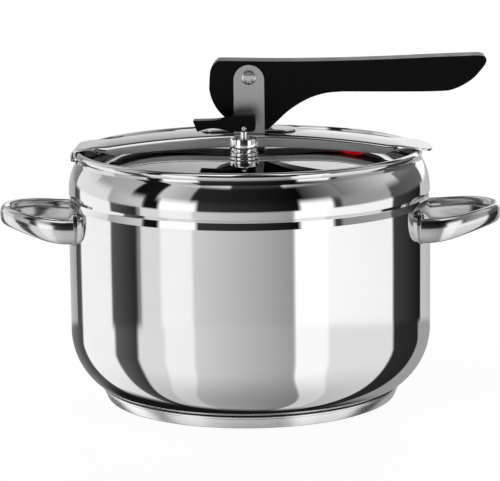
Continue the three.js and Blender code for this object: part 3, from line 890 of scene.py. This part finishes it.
# %% Press the strip
deselect()
bpy.ops.mesh.primitive_grid_add(
    x_subdivisions=len(line) - 1, y_subdivisions=2 * HALF_POINTS, size=2,
)
bridge = bpy.context.object
bridge.name = "sprung_bridge"
for vertex in bridge.data.vertices:
    i = round((vertex.co.x + 1) / 2 * (len(line) - 1))
    j = round(vertex.co.y * HALF_POINTS)
    x, z = line[i]
    before, after = line[max(i - 1, 0)], line[min(i + 1, len(line) - 1)]
    heading = Vector((after[0] - before[0], 0, after[1] - before[1])).normalized()
    down = Vector((heading.z, 0, -heading.x))
    from_end = min(lengths[i], lengths[-1] - lengths[i], END_ROUNDING)
    half_width = BAR_HALF_WIDTH - END_ROUNDING + math.sqrt(
        END_ROUNDING ** 2 - (END_ROUNDING - from_end) ** 2
    )
    across, deep = cross_section(half_width, flange_depth(x))[abs(j)]
    vertex.co = (Vector((x, math.copysign(across, j), z)) + deep * down) * MM
modify(bridge, "SOLIDIFY", thickness=BAR_SHEET * MM, offset=-1, use_even_offset=True)
SLOT_ROOM = 0.4
bracket_low, bracket_high = corners("lever_bracket")
low_x, high_x = bracket_low.x - SLOT_ROOM, bracket_high.x + SLOT_ROOM
for low_y, high_y in ((11.1, 14.2), (-14.2, -11.1)):
    slot = [(low_x, low_y), (high_x, low_y), (high_x, high_y), (low_x, high_y)]
    cut_away(bridge, cut_plate("cutter", slot, "Z", bar_high.z - 8, bar_high.z + 5))
modify(bridge, "BEVEL", width=0.35 * MM, segments=2, limit_method="ANGLE",
       angle_limit=math.radians(60))
smooth(bridge)
hand_over(bridge, pressed_steel, "bridge", "polished_steel", "bridge_bar")
bridge.data.materials.append(satin_flange)
FLANGE_FACING = 0.93  # the part of a face's normal that points sideways
FLANGE_FROM = 17
flange_faces = 0
for face in bridge.data.polygons:
    on_flange = abs(face.normal.y) > FLANGE_FACING and abs(face.center.y) > FLANGE_FROM * MM
    face.material_index = int(on_flange)
    flange_faces += on_flange
print("satin on", flange_faces, "faces of the flanges")

# %% [markdown]
# The cam rubs on a separate wear plate. It is cut with round corners, sliced across so that it can
# bend, and laid on the arch.

# %% The wear plate
WEAR_SHEET = 1.2
plate_low, plate_high = corners("cam_plate")
wear_outline = soft_corners([
    (plate_low.x, plate_low.y, 9), (plate_high.x, plate_low.y, 9),
    (plate_high.x, plate_high.y, 9), (plate_low.x, plate_high.y, 9),
], 8)
wear_plate = cut_plate(
    "cam_wear_plate", wear_outline, "Z", plate_high.z - WEAR_SHEET, plate_high.z,
)
bpy.ops.object.mode_set(mode="EDIT")
for x in range(-24, 25, 6):
    bpy.ops.mesh.select_all(action="SELECT")
    bpy.ops.mesh.bisect(plane_co=(x * MM, 0, 0), plane_no=(1, 0, 0))
bpy.ops.object.mode_set(mode="OBJECT")
for vertex in wear_plate.data.vertices:
    vertex.co.z -= vertex.co.x ** 2 / (ARCH * MM)
break_edges(wear_plate, 0.4, 3)
hand_over(wear_plate, pressed_steel, "bridge", "satin_steel", "cam_plate")

# %% [markdown]
# ## The lid
# The lid is a shallow spun dish with a flat middle and a turned-out edge that the seal grips. It
# sits below the rim and mirrors the bridge, the bracket and the valve above it.

# %% A smooth line through points
def through(points, steps=6):
    """A curve through all the points, for shapes that a hand draws in one sweep."""
    ends = [2 * Vector(points[0]) - Vector(points[1])] + [Vector(p) for p in points]
    ends.append(2 * Vector(points[-1]) - Vector(points[-2]))
    curve = []
    for p0, p1, p2, p3 in zip(ends, ends[1:], ends[2:], ends[3:]):
        for step in range(steps):
            t = step / steps
            curve.append(tuple(
                ((2 * p1) + (p2 - p0) * t + (2 * p0 - 5 * p1 + 4 * p2 - p3) * t * t
                 + (3 * p1 - p0 - 3 * p2 + p3) * t ** 3) / 2
            ))
    return curve + [tuple(points[-1])]


# %% The lid
LID_Z = lid_high.z
lid = spun("lid_dish", (
    through([(0, LID_Z - SHEET), (24, LID_Z - SHEET), (44, LID_Z - SHEET), (60, 161), (74.7, 159.1),
             (89.5, 155.8), (99.4, 151.8), (104.2, 148.9), (106.6, 145.9)], 4)
    + [(110.5, 145.8), (110.5, 147), (108, 147.1)]
    + through([(107.2, 147.3), (105, 150), (100, 153), (90, 157), (75, 160.4), (60, 162.4),
               (44, LID_Z - 0.1), (24, LID_Z), (0, LID_Z)], 5)
), steps=192)
hand_over(lid, mirror_steel, "lid", "polished_steel", "lid_plate")

# %% [markdown]
# The seal is one moulded ring with a groove for the lid's edge. Its upper lip is thin and soft, so
# that steam presses it against the collar.

# %% The seal
seal = spun("lid_seal", soft_corners([
    (108.4, 144.2, 0.3), (112.2, 144.2, 0.6), (112.9, 145, 0.4), (112.9, 148.5, 0.8),
    (112.2, 150.9, 0.4), (111.4, 151.6, 0.3), (109.6, 149.4, 0.6), (108.4, 147.4, 0.2),
    (110.8, 147.3, 0), (110.8, 145.5, 0), (108.4, 145.5, 0.2), (108.4, 144.8, 0),
], 3) + [(108.4, 144.5)], steps=128)
hand_over(seal, grey_silicone, "lid", "grey_silicone", "lid_gasket")

# %% [markdown]
# ## The safety plug
# A soft red button fills a hole in the lid and blows out if the valve ever blocks. It is moulded
# round, so it is spun upright here and then leant to the slope of the lid.

# %% The safety plug
plug_low, plug_high = corners("safety_plug")
plug_middle = (plug_low + plug_high) / 2
plug_turn = math.atan2(plug_middle.y, plug_middle.x)
PLUG_R, PLUG_Z = 67.6, 161.23
PLUG_LEAN = math.atan2(1.9, 15)
plug = spun("safety_button", soft_corners([
    (0, -5, 0), (4.4, -5, 0.4), (5.6, -3.8, 0.5), (5.6, -1.6, 0.3), (4.4, -1.6, 0.1), (4.4, 0.2, 0),
    (7, 0.2, 0.4), (7, 1.8, 0.8), (6.2, 2.9, 0.8), (4, 3.2, 1.5), (3.4, 2.7, 0.4), (0, 2.7, 0),
], 4), steps=48)
pick(plug)
bpy.ops.object.mode_set(mode="EDIT")
bpy.ops.mesh.select_all(action="SELECT")
bpy.ops.transform.rotate(value=-PLUG_LEAN, orient_axis="Y", center_override=(0, 0, 0))
bpy.ops.transform.translate(value=(PLUG_R * MM, 0, PLUG_Z * MM))
bpy.ops.transform.rotate(value=-plug_turn, orient_axis="Z", center_override=(0, 0, 0))
bpy.ops.object.mode_set(mode="OBJECT")
hand_over(plug, red_silicone, "lid", "red_silicone", "safety_plug")

# %% [markdown]
# ## The bracket and its pin
# A thick strip is bent to a U and riveted to the lid. Its two cheeks stand up through the bridge's
# slots and end in half rounds. The U is cut as one section, and the round tops are then cut
# from its sides.

# %% The bracket
inner_y, outer_y = 11.4, bracket_high.y
half_x = (bracket_high.x - bracket_low.x) / 2
bracket = cut_plate("yoke_bracket", soft_corners([
    (-outer_y, bracket_high.z, 0), (-outer_y, bracket_low.z, 3.4), (outer_y, bracket_low.z, 3.4),
    (outer_y, bracket_high.z, 0), (inner_y, bracket_high.z, 0), (inner_y, bracket_low.z + 2.5, 1),
    (-inner_y, bracket_low.z + 2.5, 1), (-inner_y, bracket_high.z, 0),
]), "X", bracket_low.x, bracket_high.x)
cheek = cut_plate(
    "cutter",
    [(bracket_low.x, bracket_low.z - 5), (bracket_high.x, bracket_low.z - 5)]
    + arc(PIVOT.x, bracket_high.z - half_x, half_x, 0, 180, 40),
    "Y", -20, 20,
)
cut_away(bracket, cheek, "INTERSECT")
break_edges(bracket, 0.45, 3)
hand_over(bracket, brushed_steel, "lid", "satin_steel", "lever_bracket")

# %% [markdown]
# The pin is headed over a punch, which leaves a ring round a flat middle on both heads.

# %% The pivot pin
head = pin_high.y
shoulder = outer_y + 0.1
half_pin = soft_corners([
    (0, head - 0.15, 0), (2.5, head - 0.15, 0.2), (2.9, head - 0.55, 0.2), (3.4, head - 0.05, 0.3),
    (4.3, head - 0.3, 0.5), (4.9, shoulder + 0.4, 0.3), (4.9, shoulder, 0), (4, shoulder, 0),
], 3)
pin = spun("pivot_rivet", both_ends(half_pin), steps=64)
lay_across(pin, PIVOT)
hand_over(pin, tube_steel, "lid", "satin_steel", "pivot_pin")

# %% [markdown]
# ## The locking lever
# One phenolic moulding is both the grip and the cam. The cam's edge is an involute: it falls by the
# same amount for each degree, so the lid sinks evenly as the lever goes up. The outline is
# drawn about the pivot and extruded, and its edges get the full round of a moulded grip.

# %% The lever
CAM_HEIGHT = 33.7
CAM_FALL = 5
CAM_TURN = math.radians(85)


def cam_point(turn):
    """The point of the cam that touches the wear plate when the lever has turned this far."""
    height = CAM_HEIGHT - CAM_FALL * turn
    return (
        CAM_FALL * math.cos(turn) - height * math.sin(turn),
        -CAM_FALL * math.sin(turn) - height * math.cos(turn),
    )


cam = [cam_point(CAM_TURN * (1 - i / 24)) for i in range(25)]
throat = through([
    (12.4, -33.7), (17, -29.7), (25.8, -21.7), (37.1, -14.8), (48.5, -11), (60, -9.9),
], 5)
grip = through([
    (60, -9.9), (93, -10.2), (121, -10.1), (131.5, -8.8), (142.5, -3), (149.9, 4.9), (152.2, 9),
    (151.2, 11.9), (148, 12.8),
], 5)
back_edge = through([
    (148, 12.8), (121, 12), (87, 10.7), (51, 9.9), (17, 9.8), (-17, 10.4), (-20.8, 9.6),
    (-23.3, 7.6), (-24.8, 4.2), (-25.4, -0.4), (-25.6, -5),
], 4)
outline = [(PIVOT.x + x, PIVOT.z + z) for x, z in cam + throat + grip[1:] + back_edge[1:]]
lever_low, lever_high = corners("lever")
lever = cut_plate("cam_lever", outline, "Y", lever_low.y, lever_high.y)
LEVER_BORE_R = 6.3
cut_away(lever, round_bar(LEVER_BORE_R, "Y", -20, 20, (PIVOT.x, PIVOT.z)))
break_edges(lever, 2.2, 4)
hand_over(lever, black_phenolic, "locking_lever", "black_phenolic", "lever")

# %% [markdown]
# ## The valve
# A plated brass housing is screwed through the lid. A knurled hood covers its spring, and steam
# leaves by small holes in the neck below the hood.

# %% Housing and hood
valve_at = (VALVE.x, VALVE.y)
housing = spun("valve_housing", soft_corners([
    (2.2, 150.5, 0), (5, 150.5, 0.4), (5, 163.6, 0), (9, 163.6, 0.3), (9, 165.6, 0.5),
    (8.3, 166, 0.2), (7.4, 166, 0.2), (7.4, 172, 0.2), (6.2, 172, 0.2), (6.2, 166.4, 0),
    (2.2, 166.4, 0), (2.2, 151, 0),
], 3) + [(2.2, 150.5)], steps=72, at=valve_at)
STEAM_HOLE_R, STEAM_HOLE_Z = 0.75, 166.6
for turn in (0.26, 1.31, 2.36):
    hole = round_bar(STEAM_HOLE_R, "Y", -12, 12, (0, STEAM_HOLE_Z), 16)
    pick(hole)
    bpy.ops.transform.rotate(value=turn, orient_axis="Z", center_override=(0, 0, 0))
    bpy.ops.transform.translate(value=(VALVE.x * MM, VALVE.y * MM, 0))
    cut_away(housing, hole)
smooth(housing)
hand_over(housing, bright_chrome, "lid", "chrome_plate", "valve_body")

HOOD_R = 9.15
HOOD_STEPS = 96
KNURL_FROM, KNURL_DEPTH = 169.3, 0.22
hood = spun("valve_hood", soft_corners([
    (3.1, 173.2, 0), (7.7, 173.2, 0.4), (7.7, 167.2, 0.1), (HOOD_R, 167.2, 0.2), (HOOD_R, 169.4, 0),
    (HOOD_R, 173.9, 0), (8.7, valve_high.z, 0.4), (3.1, valve_high.z, 0.1), (3.1, 173.6, 0),
], 3) + [(3.1, 173.2)], steps=HOOD_STEPS, at=valve_at)
knurled = 0
for vertex in hood.data.vertices:
    out = Vector((vertex.co.x / MM - VALVE.x, vertex.co.y / MM - VALVE.y))
    step = round(math.atan2(out.y, out.x) / FULL_TURN * HOOD_STEPS)
    if abs(out.length - HOOD_R) < 0.02 and vertex.co.z / MM > KNURL_FROM and step % 2:
        vertex.co.x -= out.x / out.length * KNURL_DEPTH * MM
        vertex.co.y -= out.y / out.length * KNURL_DEPTH * MM
        knurled += 1
print("knurl:", knurled // 2, "grooves")
smooth(hood)
hand_over(hood, bright_chrome, "lid", "chrome_plate", "valve_cap")

# %% [markdown]
# The rod carries the vent lever on a cross pin with domed ends, which catches one bright spot. The
# vent lever is moulded with a fork that goes round the rod, and a bore for the pin.

# %% Rod, pin and vent lever
stem_low, stem_high = corners("valve_stem")
rod = spun("valve_rod", soft_corners([
    (0, stem_low.z, 0), (4.4, stem_low.z, 0.2), (4.4, 169.3, 0.2), (2.1, 169.3, 0.2),
    (2.1, stem_high.z - 0.4, 0.4), (1.4, stem_high.z, 0.3), (0, stem_high.z, 0),
], 3), steps=40, at=valve_at)
hand_over(rod, bright_chrome, "valve_plunger", "chrome_plate", "valve_stem")

CROSS_PIN_R, CROSS_PIN_HALF = 1.6, 5.4
half_cross_pin = (
    [(0, CROSS_PIN_HALF + CROSS_PIN_R)] + arc(0, CROSS_PIN_HALF, CROSS_PIN_R, 80, 10, 5)
    + [(CROSS_PIN_R, CROSS_PIN_HALF)]
)
cross_pin = spun("vent_cross_pin", both_ends(half_cross_pin), steps=32)
lay_across(cross_pin, VENT_PIN)
hand_over(cross_pin, bright_chrome, "valve_plunger", "chrome_plate", "vent_lever_pin")

flag = cut_plate("vent_flag", [(VENT_PIN.x + x, VENT_PIN.z + z) for x, z in (
    [(-8, -2), (5.4, -2)] + arc(5.4, 0, 2, -60, 0, 3) + [(7.4, 7.4), (6.6, 8.1)]
    + through([(-7.2, 8.1), (-10, 6.9), (-14, 5.9), (-18.5, 5.4), (-25, 5.3), (-32.2, 5.2)], 3)
    + [(-29.6, -1.8)]
    + through([(-29.0, -1.8), (-24, -0.3), (-18.8, 0.3), (-12, -0.9)], 3)
)], "Y", VENT_PIN.y - 5.5, VENT_PIN.y + 5.5)
FORK_DEPTH, FORK_HALF_GAP, FLAG_BORE_R = 4.2, 3, 1.8
fork = cut_plate("cutter", [
    (VENT_PIN.x - FORK_DEPTH, VENT_PIN.z - 20), (VENT_PIN.x + 20, VENT_PIN.z - 20),
    (VENT_PIN.x + 20, VENT_PIN.z + FORK_DEPTH), (VENT_PIN.x - FORK_DEPTH, VENT_PIN.z + FORK_DEPTH),
], "Y", VENT_PIN.y - FORK_HALF_GAP, VENT_PIN.y + FORK_HALF_GAP)
cut_away(flag, fork)
cut_away(flag, round_bar(
    FLAG_BORE_R, "Y", VENT_PIN.y - 8, VENT_PIN.y + 8, (VENT_PIN.x, VENT_PIN.z),
))
break_edges(flag, 0.5, 3)
hand_over(flag, black_phenolic, "vent", "black_phenolic", "vent_lever")

# %% [markdown]
# ## The valve's spring
# The spring hides in the hood. Its coil is already drawn in the frame, so a copy is merged and
# keeps that shape. In the cooker the rod's collar lifts its lower end by the valve's travel while
# its upper end stays against the hood.

# %% The spring
pick(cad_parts["valve_spring"])
bpy.ops.object.duplicate()
coil = bpy.context.object
coil.name = "valve_coil"
bpy.ops.object.mode_set(mode="EDIT")
close_up()
coil.data.materials.clear()
hand_over(coil, tube_steel, "lid", "satin_steel", "valve_spring")
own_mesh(coil)

# %% [markdown]
# ## Pieces kept from the frame
# The pieces that hide inside the bracket, under the lid and in the valve keep their CAD shape, and
# get the finish of the real ones.

# %% Finish the hidden pieces
CARRIED_OVER = {
    "base_core": dull_aluminium,
    "bracket_backing_plate": brushed_steel,
    "lever_bush": turned_steel,
    "valve_seal": grey_silicone,
    "valve_nut": bright_chrome,
    "valve_disc": grey_silicone,
}
CARRIED_OVER.update({f"bracket_rivet_{i}": turned_steel for i in (1, 2, 3, 4)})
for node, material in CARRIED_OVER.items():
    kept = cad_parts[node]
    kept.data.materials.clear()
    kept.data.materials.append(material)
print("kept from the frame:", len(CARRIED_OVER))
